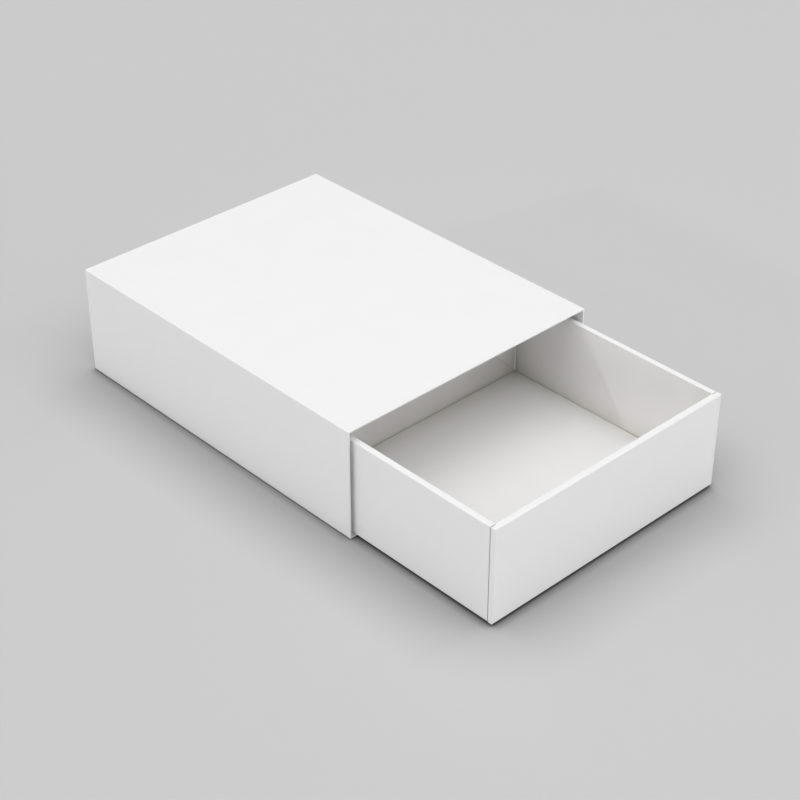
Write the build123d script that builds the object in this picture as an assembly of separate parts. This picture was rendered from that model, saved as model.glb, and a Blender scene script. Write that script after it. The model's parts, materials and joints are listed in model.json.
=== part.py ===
from build123d import *
import os

# Slide drawer box: a folded board sleeve, and a rigid board tray that slides in it.
# Millimetres, +Z up. The origin is the centre of the sleeve's underside, and the
# tray comes out towards -Y.

# Sleeve, one creased sheet
sleeve_width = 150.0
sleeve_length = 192.0
sleeve_height = 57.5
sleeve_board = 0.8
sleeve_fold_radius = 0.9
glue_flap_height = 25.0
glue_flap_taper = 7.0
seam_tape_thickness = 0.1
seam_tape_margin = 3.0

# Tray, outer sizes and its place in the sleeve
tray_side_clearance = 2.05
tray_running_clearance = 0.3
tray_height = 49.7
tray_shortfall = 1.0
tray_pull_out = 85.0

# Tray, the sheets that it is made of
wall_board = 2.2
floor_board = 2.2
cover_paper = 0.3
cover_fold_radius = 0.45
cover_seam = 0.5
lining_card = 0.5
base_card = 0.5
base_card_inset = 2.0
stay_tape = 0.2
stay_leg = 15.0
stay_drop = 6.0

# Tray, the raised inner floor
floor_liner = 4.0
floor_liner_gap = 0.25
floor_liner_edge_radius = 0.1

# Tray, the divider and the lining flaps that hold its front face
divider_depth = 122.0
divider_board = 1.5
divider_drop = 1.0
lining_fold_radius = 0.8
lining_flap = 20.0
lining_flap_rise_share = 1.0

# One overrun serves every cut
overrun = 1.0

# Sleeve, derived
sleeve_half_width = sleeve_width / 2
sleeve_half_length = sleeve_length / 2
flap_outer_x = sleeve_half_width - sleeve_board - seam_tape_thickness
flap_inner_x = flap_outer_x - sleeve_board

# Tray, derived
tray_half_width = sleeve_half_width - sleeve_board - tray_side_clearance
tray_length = sleeve_length - tray_shortfall
tray_front = -sleeve_half_length - tray_pull_out
tray_back = tray_front + tray_length
base_bottom = sleeve_board + tray_running_clearance
tray_bottom = base_bottom + base_card
tray_top = tray_bottom + tray_height
panel_depth = cover_paper + wall_board
wall_depth = panel_depth + lining_card
board_half_width = tray_half_width - panel_depth
inner_half_width = tray_half_width - wall_depth
board_front = tray_front + panel_depth
board_back = tray_back - panel_depth
inner_front = tray_front + wall_depth
inner_back = tray_back - wall_depth
floor_top = tray_bottom + floor_board
lining_top = tray_top - cover_paper
board_bottom = tray_bottom + cover_paper
board_edge_radius = cover_fold_radius - cover_paper
liner_top = floor_top + floor_liner
flap_face = tray_front + divider_depth
divider_front = flap_face + lining_card
divider_back = divider_front + divider_board + 2 * cover_paper
divider_top = tray_top - divider_drop


def block(low, high):
    """A rectangular piece between two opposite corners."""
    sizes = [b - a for a, b in zip(low, high)]
    middle = [(a + b) / 2 for a, b in zip(low, high)]
    return Pos(*middle) * Box(*sizes)


def along_y(profile, start, end):
    """Extrude an XZ profile from one Y to another."""
    return Pos(0, start, 0) * extrude(profile, end - start, dir=(0, 1, 0))


def mirrored(piece):
    """The same piece on the other side of the box."""
    return mirror(piece, Plane.YZ)


def turned(piece):
    """The same piece at the other end of the tray."""
    return mirror(piece, Plane.XZ.offset(-(tray_front + tray_back) / 2))


def make_sleeve():
    """The creased sheet: right, top, left and bottom panel, then the glue flap."""
    outside = FilletPolyline(
        (sleeve_half_width, 0, 0),
        (sleeve_half_width, 0, sleeve_height),
        (-sleeve_half_width, 0, sleeve_height),
        (-sleeve_half_width, 0, 0),
        (flap_outer_x, 0, 0),
        (flap_outer_x, 0, glue_flap_height),
        radius=sleeve_fold_radius,
    )
    inside = FilletPolyline(
        (sleeve_half_width - sleeve_board, 0, 0),
        (sleeve_half_width - sleeve_board, 0, sleeve_height - sleeve_board),
        (-sleeve_half_width + sleeve_board, 0, sleeve_height - sleeve_board),
        (-sleeve_half_width + sleeve_board, 0, sleeve_board),
        (flap_inner_x, 0, sleeve_board),
        (flap_inner_x, 0, glue_flap_height),
        radius=sleeve_fold_radius - sleeve_board,
    )
    lower_edge = Line(outside @ 0, inside @ 0)
    flap_edge = Line(outside @ 1, inside @ 1)
    section = make_face([outside, flap_edge, inside, lower_edge])
    sheet = along_y(section, -sleeve_half_length, sleeve_half_length)
    for end in (-1, 1):
        sheet -= flap_end_cut(end)
    return sheet


def flap_end_cut(end):
    """The slanted end of the glue flap, which keeps it out of the mouth."""
    mouth = end * sleeve_half_length
    foot = sleeve_fold_radius
    past_top = glue_flap_height + overrun
    past_mouth = mouth + end * overrun
    corner = Polyline(
        (flap_inner_x - overrun, mouth, foot),
        (flap_inner_x - overrun, mouth - end * glue_flap_taper, past_top),
        (flap_inner_x - overrun, past_mouth, past_top),
        (flap_inner_x - overrun, past_mouth, foot),
        close=True,
    )
    depth = sleeve_board + overrun + seam_tape_thickness / 2
    return extrude(make_face(corner), depth, dir=(1, 0, 0))


def make_seam_tape():
    """The strip between the glue flap and the right panel."""
    reach = sleeve_half_length - glue_flap_taper - seam_tape_margin
    low = (flap_outer_x, -reach, sleeve_fold_radius + seam_tape_margin)
    high = (flap_outer_x + seam_tape_thickness, reach, glue_flap_height - seam_tape_margin)
    return block(low, high)


def make_base_card():
    """The running card under the tray, set in from its edges."""
    half = tray_half_width - base_card_inset
    low = (-half, tray_front + base_card_inset, base_bottom)
    high = (half, tray_back - base_card_inset, tray_bottom)
    return block(low, high)


def make_floor_board():
    """The structural floor, between the four wall boards."""
    low = (-board_half_width, board_front, tray_bottom)
    high = (board_half_width, board_back, floor_top)
    return block(low, high)


def make_left_wall_board():
    """A side wall's board, with its outer edges eased for the paper."""
    low = (-tray_half_width + cover_paper, board_front, board_bottom)
    high = (-board_half_width, board_back, lining_top)
    board = block(low, high)
    outer_edges = board.edges().filter_by(Axis.Y).group_by(Axis.X)[0]
    return fillet(outer_edges, board_edge_radius)


def make_left_wall_cover():
    """The paper of a side wall: under the board, up its outside and over the rim."""
    outer_x = -tray_half_width
    outside = FilletPolyline(
        (outer_x + panel_depth, 0, tray_bottom),
        (outer_x, 0, tray_bottom),
        (outer_x, 0, tray_top),
        (outer_x + wall_depth, 0, tray_top),
        radius=cover_fold_radius,
    )
    inside = FilletPolyline(
        (outer_x + panel_depth, 0, board_bottom),
        (outer_x + cover_paper, 0, board_bottom),
        (outer_x + cover_paper, 0, lining_top),
        (outer_x + wall_depth, 0, lining_top),
        radius=board_edge_radius,
    )
    foot_edge = Line(outside @ 0, inside @ 0)
    rim_edge = Line(outside @ 1, inside @ 1)
    section = make_face([outside, rim_edge, inside, foot_edge])
    return along_y(section, board_front + cover_seam, board_back - cover_seam)


def make_front_board():
    """The front wall's board, across the ends of the side walls."""
    half = tray_half_width - cover_paper
    low = (-half, tray_front + cover_paper, board_bottom)
    high = (half, board_front, lining_top)
    board = block(low, high)
    front_edges = board.faces().sort_by(Axis.Y)[0].edges()
    upright_edges = front_edges.filter_by(Axis.Z)
    long_edges = front_edges.filter_by(Axis.X)
    return fillet(upright_edges + long_edges, board_edge_radius)


def make_front_cover(board):
    """The paper of the front wall: over its face, its ends, its foot and its rim."""
    low = (-tray_half_width, tray_front, tray_bottom)
    high = (tray_half_width, board_front, tray_top)
    outer = block(low, high)
    front_edges = outer.faces().sort_by(Axis.Y)[0].edges()
    outer = fillet(front_edges, cover_fold_radius)
    rim_low = (-inner_half_width, board_front - cover_paper, lining_top)
    rim_high = (inner_half_width, inner_front, tray_top)
    return outer + block(rim_low, rim_high) - board


def make_corner_stay():
    """One folded tape, in the front left corner behind the linings."""
    stay_top = lining_top - stay_drop
    side_low = (-board_half_width, board_front, floor_top)
    side_high = (-board_half_width + stay_tape, board_front + stay_leg, stay_top)
    front_low = (-board_half_width, board_front, floor_top)
    front_high = (-board_half_width + stay_leg, board_front + stay_tape, stay_top)
    return block(side_low, side_high) + block(front_low, front_high)


def make_left_lining_front():
    """The card that lines the left wall's front bay, folded on to the divider."""
    flap_end = -inner_half_width + lining_flap
    hidden = FilletPolyline(
        (-board_half_width, board_front, floor_top),
        (-board_half_width, divider_front, floor_top),
        (flap_end, divider_front, floor_top),
        radius=lining_fold_radius,
    )
    shown = FilletPolyline(
        (-inner_half_width, board_front, floor_top),
        (-inner_half_width, flap_face, floor_top),
        (flap_end, flap_face, floor_top),
        radius=lining_fold_radius - lining_card,
    )
    front_edge = Line(hidden @ 0, shown @ 0)
    flap_edge = Line(hidden @ 1, shown @ 1)
    section = make_face([hidden, flap_edge, shown, front_edge])
    card = extrude(section, lining_top - floor_top, dir=(0, 0, 1))
    return card - flap_foot_cut(flap_end)


def flap_foot_cut(flap_end):
    """The mitre that takes the lining flap's foot clear of the floor."""
    wall = -inner_half_width
    past_end = flap_end + overrun
    rise = (past_end - wall) * lining_flap_rise_share
    corner = Polyline(
        (wall, flap_face - overrun, floor_top - overrun),
        (wall, flap_face - overrun, liner_top),
        (past_end, flap_face - overrun, liner_top + rise),
        (past_end, flap_face - overrun, floor_top - overrun),
        close=True,
    )
    return extrude(make_face(corner), lining_card + 2 * overrun, dir=(0, 1, 0))


def make_left_lining_rear():
    """The card that lines the left wall behind the divider."""
    low = (-board_half_width, divider_back, floor_top)
    high = (-inner_half_width, board_back, lining_top)
    return block(low, high)


def make_divider_board():
    """The board of the cross wall, between the side walls."""
    low = (-board_half_width, divider_front + cover_paper, floor_top)
    high = (board_half_width, divider_back - cover_paper, divider_top - cover_paper)
    board = block(low, high)
    top_edges = board.faces().sort_by(Axis.Z)[-1].edges().filter_by(Axis.X)
    return fillet(top_edges, board_edge_radius)


def make_divider_cover(board):
    """The paper of the cross wall, down both its faces."""
    low = (-board_half_width, divider_front, floor_top)
    high = (board_half_width, divider_back, divider_top)
    outer = block(low, high)
    top_edges = outer.faces().sort_by(Axis.Z)[-1].edges().filter_by(Axis.X)
    return fillet(top_edges, cover_fold_radius) - board


def make_front_lining():
    """The card that lines the front wall, between the side linings."""
    low = (-inner_half_width, board_front, floor_top)
    high = (inner_half_width, inner_front, lining_top)
    return block(low, high)


def make_floor_liner(start, end):
    """A length of the raised inner floor, with its upper edges eased."""
    half = inner_half_width - floor_liner_gap
    low = (-half, start, floor_top)
    high = (half, end, liner_top)
    liner = block(low, high)
    upper_edges = liner.faces().sort_by(Axis.Z)[-1].edges()
    return fillet(upper_edges, floor_liner_edge_radius)


def make_parts():
    """Every piece of the box, by name."""
    parts = {}
    parts["sleeve"] = make_sleeve()
    parts["seam_tape"] = make_seam_tape()
    parts["base_card"] = make_base_card()
    parts["floor_board"] = make_floor_board()

    wall = make_left_wall_board()
    parts["left_wall_board"] = wall
    parts["right_wall_board"] = mirrored(wall)
    wall_cover = make_left_wall_cover()
    parts["left_wall_cover"] = wall_cover
    parts["right_wall_cover"] = mirrored(wall_cover)

    front = make_front_board()
    parts["front_board"] = front
    parts["back_board"] = turned(front)
    front_cover = make_front_cover(front)
    parts["front_cover"] = front_cover
    parts["back_cover"] = turned(front_cover)

    front_left_stay = make_corner_stay()
    front_stays = [front_left_stay, mirrored(front_left_stay)]
    stays = front_stays + [turned(stay) for stay in front_stays]
    parts["corner_stays"] = Compound(stays)

    divider = make_divider_board()
    parts["divider_board"] = divider
    parts["divider_cover"] = make_divider_cover(divider)

    side_linings = {"front": make_left_lining_front(), "rear": make_left_lining_rear()}
    for place, lining in side_linings.items():
        for stay in stays:
            lining -= stay
        parts[f"left_lining_{place}"] = lining
        parts[f"right_lining_{place}"] = mirrored(lining)

    front_lining = make_front_lining()
    for stay in front_stays:
        front_lining -= stay
    parts["front_lining"] = front_lining
    parts["back_lining"] = turned(front_lining)

    parts["floor_liner_front"] = make_floor_liner(
        inner_front + floor_liner_gap, divider_front - floor_liner_gap
    )
    parts["floor_liner_rear"] = make_floor_liner(
        divider_back + floor_liner_gap, inner_back - floor_liner_gap
    )
    return parts


def main():
    os.makedirs("parts", exist_ok=True)
    for name, piece in make_parts().items():
        export_step(piece, f"parts/{name}.step")


main()
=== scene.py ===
import json
import math
import bmesh
import bpy
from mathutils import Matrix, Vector


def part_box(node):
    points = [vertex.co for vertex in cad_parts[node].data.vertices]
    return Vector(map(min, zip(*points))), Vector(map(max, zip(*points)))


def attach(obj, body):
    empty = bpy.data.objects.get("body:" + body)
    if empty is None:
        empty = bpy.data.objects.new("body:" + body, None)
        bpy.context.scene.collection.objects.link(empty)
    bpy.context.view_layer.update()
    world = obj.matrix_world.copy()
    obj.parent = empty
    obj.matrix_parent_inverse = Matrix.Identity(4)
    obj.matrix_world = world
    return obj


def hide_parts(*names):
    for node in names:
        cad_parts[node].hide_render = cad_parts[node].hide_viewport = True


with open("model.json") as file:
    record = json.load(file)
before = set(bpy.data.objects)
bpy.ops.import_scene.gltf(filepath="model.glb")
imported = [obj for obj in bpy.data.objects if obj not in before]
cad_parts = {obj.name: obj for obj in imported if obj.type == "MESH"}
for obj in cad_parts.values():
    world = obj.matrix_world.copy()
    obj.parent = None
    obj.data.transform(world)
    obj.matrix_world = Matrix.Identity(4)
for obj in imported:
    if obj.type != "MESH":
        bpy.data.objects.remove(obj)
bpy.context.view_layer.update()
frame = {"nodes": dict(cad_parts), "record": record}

# Camera, at the photograph's viewing angle: place in metres, angles in degrees, lens and
# sensor in millimetres
camera_place = (-0.51303, -0.59272, 0.51624)
camera_azimuth = -43.316
camera_elevation = 33.734
camera_lens = 84.969
camera_sensor = 36.0

# Stage floor
floor_reach = 6.0
floor_grey = 0.586
floor_roughness = 0.9
# Painted shadow in its colour near the box: how far each shading reaches and the share of the light it
# leaves
painted_contact_shade = {
    "near": dict(reach=0.043, share=0.26),
    "close": dict(reach=0.005, share=0.26),
    "touching": dict(reach=0.001, share=0.02),
}

# Studio light, with angles in degrees. Each softbox in the sky has an azimuth from +X and an
# elevation, the angles from its axis where it starts and stops fading, and a level
softboxes = {
    "overhead": (-110.0, 82.0, 30.0, 48.0, 1.32),
    "back": (90.0, 42.0, 10.0, 28.0, 1.28),
    "left": (180.0, 42.0, 10.0, 28.0, 1.22),
    "right": (0.0, 40.0, 10.0, 28.0, 0.82),
    "front_right": (-45.0, 20.0, 12.0, 26.0, 0.76),
    "back_left": (135.0, 20.0, 12.0, 26.0, 0.94),
    "front": (-90.0, 55.0, 8.0, 22.0, 0.5),
    "front_high": (-60.0, 36.0, 6.0, 18.0, 0.91),
}
# Fill from all round, low down: its level towards each side, and the elevations where it
# starts and stops fading
low_fill = {"front": 2.34, "left": 0.59, "back": 0.33, "right": 1.39}
low_fill_full = 8.0
low_fill_end = 16.0
# A weak key, low on the left and a little behind: the way towards it, its width in degrees
# and its level
key_way = (-3.2, 0.71, 1.0)
key_angle = 0.6
key_level = 0.24
# A weak lamp near the front: its place, what it aims at, its width in metres and its watts
lamp_place = (-0.08, -0.42, 0.62)
lamp_aim = (0.0, -0.1, 0.05)
lamp_size = 0.4
lamp_power = 0.12

# Folds and cut edges of the board and the papers, in metres and degrees
sleeve_fold_radius = 0.00045
cover_fold_radius = 0.00045
fold_inner_radius = 0.00005
fold_steps = 10
fold_profile_share = 0.5
cut_ease = 0.00008
sheet_stations = 8
sharp_edge_angle = 50
glue_flap_height = 0.025
glue_flap_taper = 0.007
# Bulge of the lining card along its fold at the divider
bead_offset = 0.001
bead_half_width = 0.00045
bead_rise = 0.0006

# Painted shade in the colour of the linings, in each nook of the tray and along its joints: how far each
# shading reaches and the share of the light it leaves; for the nook shade, the shares of red, green and
# blue, which leave it a little warmer
nook_shade_reach = 0.013
nook_shade_shares = (0.758, 0.76, 0.68)
joint_shade_reach = 0.001
joint_shade_share = 0.92
openness_samples = 8

# Noise in the sheets, with scales in waves per metre: mottling of the colour, fibres in the
# surface, flecks in raw board, and the middle range of each noise that is used
mottle_scale = 55
mottle_detail = 3
mottle_roughness = 0.55
fibre_detail = 5
fibre_roughness = 0.62
fibre_bump_share = 0.35
fleck_detail = 6
fleck_roughness = 0.7
fleck_stretch = (1, 1, 3)
fleck_height = 0.00006
fleck_bump_share = 0.5
fleck_specular = 0.2
tint_range_shares = (0.32, 0.68)
gloss_range_shares = (0.3, 0.7)
gloss_swing = 0.05

# Finish of each smooth sheet, by slot, with the height of its fibres in metres
sheet_finishes = {
    "sleeve_board": dict(
        colour=(0.88, 0.88, 0.88), mottle_share=0.004, rough=0.6, specular=0.3,
        fibre_scale=2600, fibre_height=0.00001),
    "cover_paper": dict(
        colour=(0.88, 0.88, 0.88), mottle_share=0.005, rough=0.68, specular=0.25,
        fibre_scale=2200, fibre_height=0.00002),
    "lining_card": dict(
        colour=(0.87, 0.858, 0.849), mottle_share=0.008, rough=0.8, specular=0.2,
        # The lining and floor cards carry painted shade in each nook and along the joints
        fibre_scale=1800, fibre_height=0.00003, nook_shade_painted=True),
    "floor_card": dict(
        colour=(0.86, 0.848, 0.839), mottle_share=0.008, rough=0.8, specular=0.2,
        fibre_scale=1800, fibre_height=0.00003, nook_shade_painted=True),
    "base_card": dict(
        colour=(0.85, 0.85, 0.84), mottle_share=0.01, rough=0.8, specular=0.2,
        fibre_scale=1500, fibre_height=0.00003),
    "seam_tape": dict(
        colour=(0.8, 0.78, 0.7), mottle_share=0.03, rough=0.5, specular=0.4,
        fibre_scale=1200, fibre_height=0.00003),
}
# Finish of each raw sheet, by slot, with the shares of its colour in dark and light flecks
fleck_finishes = {
    "grey_board": dict(
        colour=(0.36, 0.34, 0.31), dark_share=0.75, light_share=1.2, fleck_scale=1400, rough=0.9),
    "stay_tape": dict(
        colour=(0.62, 0.48, 0.32), dark_share=0.85, light_share=1.12, fleck_scale=1600, rough=0.75),
}


def arc_points(before, corner, after, radius, steps):
    """The points of the arc that rounds one corner of a path."""
    toward_before = (before - corner).normalized()
    toward_after = (after - corner).normalized()
    half_angle = toward_before.angle(toward_after) / 2
    setback = radius / math.tan(half_angle)
    centre = corner + (toward_before + toward_after).normalized() * radius / math.sin(half_angle)
    start = corner + toward_before * setback - centre
    end = corner + toward_after * setback - centre
    sweep = start.angle(end)
    points = []
    for step in range(steps + 1):
        share = step / steps
        spoke = (start * math.sin((1 - share) * sweep) + end * math.sin(share * sweep)) / math.sin(sweep)
        points.append(centre + spoke)
    return points


def rounded_path(corners, radius, steps):
    """A path through the corners, each inner one rounded."""
    corners = [Vector(c) for c in corners]
    points = [corners[0]]
    for before, corner, after in zip(corners, corners[1:], corners[2:]):
        points.extend(arc_points(before, corner, after, radius, steps))
    points.append(corners[-1])
    return points


def inner_corners(corners, depth):
    """The corners of the path that runs at a depth on the left-hand side of another."""
    corners = [Vector(c) for c in corners]
    ways = [(after - before).normalized() for before, after in zip(corners, corners[1:])]
    normals = [Vector((-way.y, way.x)) for way in ways]
    inner = []
    for corner, before, after in zip(corners, normals[:1] + normals, normals + normals[-1:]):
        inner.append(corner + (before + after) * depth / (1 + before.dot(after)))
    return inner


def add_mesh(name, bm):
    """A mesh object from a bmesh, smooth across its folds and sharp at its cut edges."""
    bmesh.ops.recalc_face_normals(bm, faces=bm.faces)
    mesh = bpy.data.meshes.new(name)
    bm.to_mesh(mesh)
    bm.free()
    mesh.shade_smooth()
    mesh.set_sharp_from_angle(angle=math.radians(sharp_edge_angle))
    piece = bpy.data.objects.new(name, mesh)
    bpy.context.scene.collection.objects.link(piece)
    weights = piece.modifiers.new("flat_panels", "WEIGHTED_NORMAL")
    weights.keep_sharp = True
    return piece


def folded_sheet(name, corners, radius, thickness, limits):
    """A sheet folded along a path in X and Z, between the two ends along Y that limits gives."""
    outside = rounded_path(corners, radius, fold_steps)
    inner_radius = max(radius - thickness, fold_inner_radius)
    inside = rounded_path(inner_corners(corners, thickness), inner_radius, fold_steps)
    last = len(outside) - 1
    bm = bmesh.new()

    def station(index, share, depth, inset):
        point = outside[index].lerp(inside[index], depth / thickness)
        if index in (0, last):
            inner = outside[1] if index == 0 else outside[last - 1]
            point = point + (inner - outside[index]).normalized() * inset
        low, high = limits(outside[index])
        y = low + inset + (high - low - 2 * inset) * share
        return bm.verts.new((point.x, y, point.y))

    # From face to face: the depth of each layer and how far it is held back at the cut edges
    layers = ((0, cut_ease), (cut_ease, 0), (thickness - cut_ease, 0), (thickness, cut_ease))
    rings = []
    for number, (depth, inset) in enumerate(layers):
        is_face = number in (0, len(layers) - 1)
        grid = {}
        for index in range(last + 1):
            for row in range(sheet_stations + 1):
                if is_face or index in (0, last) or row in (0, sheet_stations):
                    grid[index, row] = station(index, row / sheet_stations, depth, inset)
        if is_face:
            for index in range(last):
                for row in range(sheet_stations):
                    bm.faces.new((grid[index, row], grid[index + 1, row],
                                  grid[index + 1, row + 1], grid[index, row + 1]))
        ring = [grid[index, 0] for index in range(last)]
        ring += [grid[last, row] for row in range(sheet_stations)]
        ring += [grid[index, sheet_stations] for index in range(last, 0, -1)]
        ring += [grid[0, row] for row in range(sheet_stations, 0, -1)]
        rings.append(ring)
    for upper, lower in zip(rings, rings[1:]):
        for index in range(len(upper)):
            after = (index + 1) % len(upper)
            bm.faces.new((upper[index], upper[after], lower[after], lower[index]))
    return add_mesh(name, bm)


def make_sleeve():
    """The creased sheet of the sleeve with its glue flap, finer than the solid."""
    low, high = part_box("sleeve")
    tape_low, tape_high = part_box("seam_tape")
    board = high.x - tape_high.x
    corners = (
        (high.x, low.z),
        (high.x, high.z),
        (low.x, high.z),
        (low.x, low.z),
        (tape_low.x, low.z),
        (tape_low.x, low.z + glue_flap_height),
    )

    def limits(point):
        rise = point.y - low.z - sleeve_fold_radius
        flap_rise = glue_flap_height - sleeve_fold_radius
        on_flap = abs(point.x - tape_low.x) < cut_ease and 0 < rise <= flap_rise + cut_ease
        taper = glue_flap_taper * rise / flap_rise if on_flap else 0
        return low.y + taper, high.y - taper

    sleeve = folded_sheet("sleeve_sheet", corners, sleeve_fold_radius, board, limits)
    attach(sleeve, "sleeve")
    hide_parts("sleeve")
    return sleeve


def make_side_cover(side):
    """The paper of a side wall: under the board, up its outside and over the rim."""
    node = f"{side}_wall_cover"
    low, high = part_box(node)
    board_low, board_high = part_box(f"{side}_wall_board")
    if side == "left":
        paper = board_low.x - low.x
        foot, outer, rim = board_high.x, low.x, high.x
    else:
        paper = high.x - board_high.x
        foot, outer, rim = board_low.x, high.x, low.x
    corners = [(foot, low.z), (outer, low.z), (outer, high.z), (rim, high.z)]
    if side == "left":
        corners.reverse()

    def limits(point):
        return low.y, high.y

    cover = folded_sheet(f"{side}_wall_paper", corners, cover_fold_radius, paper, limits)
    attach(cover, "tray")
    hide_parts(node)
    return cover


def make_end_cover(end):
    """The paper of the front or back wall, folded round its face, ends, foot and rim."""
    node = f"{end}_cover"
    low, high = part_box(node)
    board_low, board_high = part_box(f"{end}_board")
    lining_low, lining_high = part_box(f"{end}_lining")
    paper = board_low.x - low.x
    if end == "front":
        face_y, open_y, rim_y = low.y, board_high.y, high.y
    else:
        face_y, open_y, rim_y = high.y, board_low.y, low.y
    middle = Vector(((low.x + high.x) / 2, (face_y + open_y) / 2, (low.z + high.z) / 2))
    size = (high.x - low.x, abs(open_y - face_y), high.z - low.z)

    # A box round the board, rounded along the edges of its face and open behind
    bm = bmesh.new()
    bmesh.ops.create_cube(bm, size=1)
    for vert in bm.verts:
        vert.co = middle + Vector(c * s for c, s in zip(vert.co, size))
    near = size[1] / 2
    face_edges = [e for e in bm.edges if all(abs(v.co.y - face_y) < near for v in e.verts)]
    bmesh.ops.bevel(bm, geom=face_edges, offset=cover_fold_radius, segments=fold_steps,
                    profile=fold_profile_share, affect="EDGES", clamp_overlap=True)
    back = [f for f in bm.faces if all(abs(v.co.y - open_y) < cut_ease for v in f.verts)]
    bmesh.ops.delete(bm, geom=back, context="FACES")

    # The lip that runs on over the lining's rim
    for x in (lining_low.x, lining_high.x):
        geometry = bm.verts[:] + bm.edges[:] + bm.faces[:]
        bmesh.ops.bisect_plane(bm, geom=geometry, plane_co=(x, 0, 0), plane_no=(1, 0, 0))

    def on_rim(edge):
        inside = all(lining_low.x - cut_ease < v.co.x < lining_high.x + cut_ease for v in edge.verts)
        return inside and all(abs(v.co.z - high.z) < cut_ease and abs(v.co.y - open_y) < cut_ease
                              for v in edge.verts)

    lip = bmesh.ops.extrude_edge_only(bm, edges=[e for e in bm.edges if on_rim(e)])["geom"]
    for vert in (g for g in lip if isinstance(g, bmesh.types.BMVert)):
        vert.co.y = rim_y

    # The paper's thickness, inwards
    bmesh.ops.recalc_face_normals(bm, faces=bm.faces)
    outward = sum((f.normal.dot(f.calc_center_median() - middle) for f in bm.faces), 0.0)
    if outward < 0:
        bmesh.ops.reverse_faces(bm, faces=bm.faces)
    bmesh.ops.solidify(bm, geom=bm.faces[:], thickness=paper)
    cover = add_mesh(f"{end}_paper", bm)
    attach(cover, "tray")
    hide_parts(node)
    return cover


def make_fold_bead(side):
    """The bulge that the crease leaves in a front lining where it turns on to the divider."""
    low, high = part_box(f"{side}_lining_front")
    card_low, card_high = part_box(f"{side}_lining_rear")
    floor_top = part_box("floor_liner_front")[1].z
    card = card_high.x - card_low.x
    middle_x = low.x + card + bead_offset if side == "left" else high.x - card - bead_offset
    face_y = high.y - card
    foot = floor_top + bead_offset + bead_half_width
    bm = bmesh.new()
    rows = []
    for z in (foot, high.z):
        row = []
        for step in range(fold_steps + 1):
            turn = math.pi * step / fold_steps
            x = middle_x + bead_half_width * math.cos(turn)
            y = face_y - bead_rise * math.sin(turn)
            row.append(bm.verts.new((x, y, z)))
        bm.faces.new(row)
        rows.append(row)
    lower, upper = rows
    for index in range(fold_steps + 1):
        after = (index + 1) % (fold_steps + 1)
        bm.faces.new((lower[index], lower[after], upper[after], upper[index]))
    bead = add_mesh(f"{side}_fold_bead", bm)
    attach(bead, "tray")
    return bead


def new_material(name):
    """An empty node material with its tree and main shader."""
    material = bpy.data.materials.new(name)
    material.use_nodes = True
    tree = material.node_tree
    return material, tree, tree.nodes["Principled BSDF"]


def noise(tree, scale, detail, roughness, stretch=(1, 1, 1)):
    """A noise texture in the piece's own metres, with a scale in waves per metre."""
    place = tree.nodes.new("ShaderNodeTexCoord")
    mapping = tree.nodes.new("ShaderNodeMapping")
    mapping.inputs["Scale"].default_value = stretch
    texture = tree.nodes.new("ShaderNodeTexNoise")
    texture.inputs["Scale"].default_value = scale
    texture.inputs["Detail"].default_value = detail
    texture.inputs["Roughness"].default_value = roughness
    tree.links.new(place.outputs["Object"], mapping.inputs["Vector"])
    tree.links.new(mapping.outputs["Vector"], texture.inputs["Vector"])
    return texture.outputs["Fac"]


def ramp(tree, source, low, high):
    """A colour that runs from low to high as the source goes through its middle range."""
    node = tree.nodes.new("ShaderNodeValToRGB")
    for element, position, colour in zip(node.color_ramp.elements, tint_range_shares, (low, high)):
        element.position = position
        element.color = (*colour, 1)
    tree.links.new(source, node.inputs["Fac"])
    return node.outputs["Color"]


def spread(tree, source, low, high):
    """A number that runs from low to high as the source goes through its middle range."""
    node = tree.nodes.new("ShaderNodeMapRange")
    low_share, high_share = gloss_range_shares
    node.inputs["From Min"].default_value = low_share
    node.inputs["From Max"].default_value = high_share
    node.inputs["To Min"].default_value = low
    node.inputs["To Max"].default_value = high
    tree.links.new(source, node.inputs["Value"])
    return node.outputs["Result"]


def scaled(colour, factor):
    """The colour times a factor, with no channel past 1."""
    return tuple(min(c * factor, 1.0) for c in colour)


def math_node(tree, operation, *values):
    """One step of arithmetic on sockets and plain numbers."""
    node = tree.nodes.new("ShaderNodeMath")
    node.operation = operation
    for socket, value in zip(node.inputs, values):
        if isinstance(value, (int, float)):
            socket.default_value = value
        else:
            tree.links.new(value, socket)
    return node.outputs["Value"]


def openness(tree, reach):
    """How open the space over a place is, from 1 down to 0, as far as a reach."""
    node = tree.nodes.new("ShaderNodeAmbientOcclusion")
    node.samples = openness_samples
    node.inputs["Distance"].default_value = reach
    return node.outputs["AO"]


def painted_shade_factor(tree, reach, share):
    """A factor of painted shade on a colour, falling from 1 towards a share where something stands
    within reach.
    """
    return math_node(tree, "MULTIPLY_ADD", openness(tree, reach), 1 - share, share)


def paint_nook_shade(tree, tint):
    """The tint with painted shade: darker and a little warmer in each nook, and darker along the joints.
    """
    nook = tree.nodes.new("ShaderNodeVectorMath")
    nook.operation = "MULTIPLY_ADD"
    nook.inputs[1].default_value = [1 - share for share in nook_shade_shares]
    nook.inputs[2].default_value = nook_shade_shares
    tree.links.new(openness(tree, nook_shade_reach), nook.inputs[0])
    shaded = tree.nodes.new("ShaderNodeVectorMath")
    shaded.operation = "MULTIPLY"
    tree.links.new(tint, shaded.inputs[0])
    tree.links.new(nook.outputs["Vector"], shaded.inputs[1])
    joined = tree.nodes.new("ShaderNodeVectorMath")
    joined.operation = "SCALE"
    tree.links.new(shaded.outputs["Vector"], joined.inputs[0])
    tree.links.new(painted_shade_factor(tree, joint_shade_reach, joint_shade_share), joined.inputs["Scale"])
    return joined.outputs["Vector"]


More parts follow.
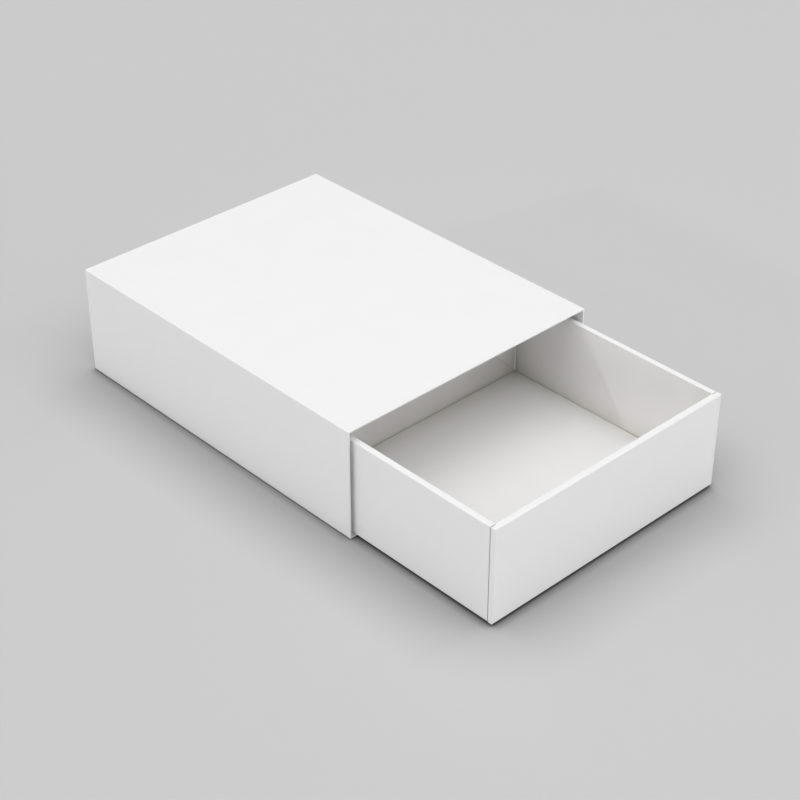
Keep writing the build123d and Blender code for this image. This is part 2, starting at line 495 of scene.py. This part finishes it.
def add_bump(tree, shader, source, share, height):
    """Relief that follows the source, at a share of a height in metres."""
    bump = tree.nodes.new("ShaderNodeBump")
    bump.inputs["Strength"].default_value = share
    bump.inputs["Distance"].default_value = height
    tree.links.new(source, bump.inputs["Height"])
    tree.links.new(bump.outputs["Normal"], shader.inputs["Normal"])


def sheet_material(name, colour, mottle_share, rough, specular, fibre_scale, fibre_height, nook_shade_painted=False):
    """Paper or board: faint mottling, fine fibres in the bump and a roughness that varies with them."""
    material, tree, shader = new_material(name)
    mottle = noise(tree, mottle_scale, mottle_detail, mottle_roughness)
    fibres = noise(tree, fibre_scale, fibre_detail, fibre_roughness)
    tint = ramp(tree, mottle, scaled(colour, 1 - mottle_share), scaled(colour, 1 + mottle_share))
    # Painted shade: the card's colour darkens, a little warmer, in each nook of the tray and along its
    # joints
    if nook_shade_painted:
        tint = paint_nook_shade(tree, tint)
    gloss = spread(tree, fibres, rough - gloss_swing, rough + gloss_swing)
    tree.links.new(tint, shader.inputs["Base Color"])
    tree.links.new(gloss, shader.inputs["Roughness"])
    shader.inputs["Specular IOR Level"].default_value = specular
    add_bump(tree, shader, fibres, fibre_bump_share, fibre_height)
    return material


def fleck_material(name, colour, dark_share, light_share, fleck_scale, rough):
    """Raw board or kraft paper: fibres and flecks of several tones."""
    material, tree, shader = new_material(name)
    flecks = noise(tree, fleck_scale, fleck_detail, fleck_roughness, fleck_stretch)
    tint = ramp(tree, flecks, scaled(colour, dark_share), scaled(colour, light_share))
    tree.links.new(tint, shader.inputs["Base Color"])
    shader.inputs["Roughness"].default_value = rough
    shader.inputs["Specular IOR Level"].default_value = fleck_specular
    add_bump(tree, shader, flecks, fleck_bump_share, fleck_height)
    return material


def make_materials():
    """One material for each slot of the record."""
    materials = {}
    for slot, finish in sheet_finishes.items():
        materials[slot] = sheet_material(slot, **finish)
    for slot, finish in fleck_finishes.items():
        materials[slot] = fleck_material(slot, **finish)
    return materials


def dress(pieces, materials):
    """Give every CAD node and every new piece the material of its slot."""
    for subpart in frame["record"]["subparts"]:
        node = frame["nodes"][subpart["node"]]
        node.data.materials.clear()
        node.data.materials.append(materials[subpart["material_slot"]])
    for piece, slot in pieces:
        piece.data.materials.append(materials[slot])


def make_floor():
    """A plain pale floor with painted shadow: its colour darkens a little where something stands close
    over it.
    """
    corners = [(-floor_reach, -floor_reach, 0), (floor_reach, -floor_reach, 0),
               (floor_reach, floor_reach, 0), (-floor_reach, floor_reach, 0)]
    mesh = bpy.data.meshes.new("floor")
    mesh.from_pydata(corners, [], [(0, 1, 2, 3)])
    floor = bpy.data.objects.new("floor", mesh)
    bpy.context.scene.collection.objects.link(floor)
    material, tree, shader = new_material("floor_grey")
    level = floor_grey
    # Painted shadow: the floor's colour is darkened where the box stands close over it
    for shading in painted_contact_shade.values():
        level = math_node(tree, "MULTIPLY", painted_shade_factor(tree, **shading), level)
    tree.links.new(level, shader.inputs["Base Color"])
    shader.inputs["Roughness"].default_value = floor_roughness
    shader.inputs["Specular IOR Level"].default_value = 0.0
    mesh.materials.append(material)


def faded(tree, source, end, full):
    """A number that eases from 0 to 1 as the source goes from end to full."""
    node = tree.nodes.new("ShaderNodeMapRange")
    node.interpolation_type = "SMOOTHSTEP"
    node.inputs["From Min"].default_value = end
    node.inputs["From Max"].default_value = full
    tree.links.new(source, node.inputs["Value"])
    return node.outputs["Result"]


def along(tree, direction, axis):
    """How far the sky's direction lies along an axis."""
    node = tree.nodes.new("ShaderNodeVectorMath")
    node.operation = "DOT_PRODUCT"
    node.inputs[1].default_value = axis
    tree.links.new(direction, node.inputs[0])
    return node.outputs["Value"]


def sky_axis(azimuth, elevation):
    """The direction of a place in the sky, from its two angles in degrees."""
    turn, rise = math.radians(azimuth), math.radians(elevation)
    return math.cos(rise) * math.cos(turn), math.cos(rise) * math.sin(turn), math.sin(rise)


def make_world():
    """A sky of soft boxes and a low fill, plain white."""
    world = bpy.data.worlds.new("studio")
    bpy.context.scene.world = world
    world.use_nodes = True
    tree = world.node_tree
    direction = tree.nodes.new("ShaderNodeTexCoord").outputs["Generated"]
    total = 0.0
    for azimuth, elevation, full, end, level in softboxes.values():
        reach = along(tree, direction, sky_axis(azimuth, elevation))
        patch = faded(tree, reach, math.cos(math.radians(end)), math.cos(math.radians(full)))
        total = math_node(tree, "MULTIPLY_ADD", patch, level, total)
    up = along(tree, direction, (0, 0, 1))
    low = faded(tree, up, math.sin(math.radians(low_fill_end)), math.sin(math.radians(low_fill_full)))
    sides = {"front": (0, -1, 0), "left": (-1, 0, 0), "back": (0, 1, 0), "right": (1, 0, 0)}
    for side, axis in sides.items():
        lobe = math_node(tree, "MAXIMUM", along(tree, direction, axis), 0.0)
        lobe = math_node(tree, "MULTIPLY", math_node(tree, "MULTIPLY", lobe, lobe), low)
        total = math_node(tree, "MULTIPLY_ADD", lobe, low_fill[side], total)
    background = tree.nodes["Background"]
    background.inputs["Color"].default_value = (1, 1, 1, 1)
    tree.links.new(total, background.inputs["Strength"])


def make_lamps():
    """The weak key and the weak lamp near the front."""
    sun = bpy.data.lights.new("key", "SUN")
    sun.energy = key_level
    sun.angle = math.radians(key_angle)
    key = bpy.data.objects.new("key", sun)
    key.rotation_euler = Vector(key_way).to_track_quat("Z", "Y").to_euler()
    disc = bpy.data.lights.new("lamp", "AREA")
    disc.shape = "DISK"
    disc.size = lamp_size
    disc.energy = lamp_power
    lamp = bpy.data.objects.new("lamp", disc)
    lamp.location = lamp_place
    lamp.rotation_euler = (Vector(lamp_place) - Vector(lamp_aim)).to_track_quat("Z", "Y").to_euler()
    for light in (key, lamp):
        bpy.context.scene.collection.objects.link(light)


def make_camera():
    """The camera, where the photograph was taken from."""
    data = bpy.data.cameras.new("camera")
    data.sensor_width = camera_sensor
    data.lens = camera_lens
    camera = bpy.data.objects.new("camera", data)
    camera.location = camera_place
    tilt = math.pi / 2 - math.radians(camera_elevation)
    camera.rotation_euler = (tilt, 0, math.radians(camera_azimuth))
    bpy.context.scene.collection.objects.link(camera)
    bpy.context.scene.camera = camera


sleeve = make_sleeve()
papers = [make_side_cover(side) for side in ("left", "right")]
papers += [make_end_cover(end) for end in ("front", "back")]
# The beads' bulge is real; their cover-paper finish, lighter than the lining around them and without its
# painted shade, makes a light line along the fold: a painted highlight
papers += [make_fold_bead(side) for side in ("left", "right")]
pieces = [(sleeve, "sleeve_board")] + [(paper, "cover_paper") for paper in papers]
dress(pieces, make_materials())
make_floor()
make_world()
make_lamps()
make_camera()
bpy.context.scene.view_settings.view_transform = "Standard"
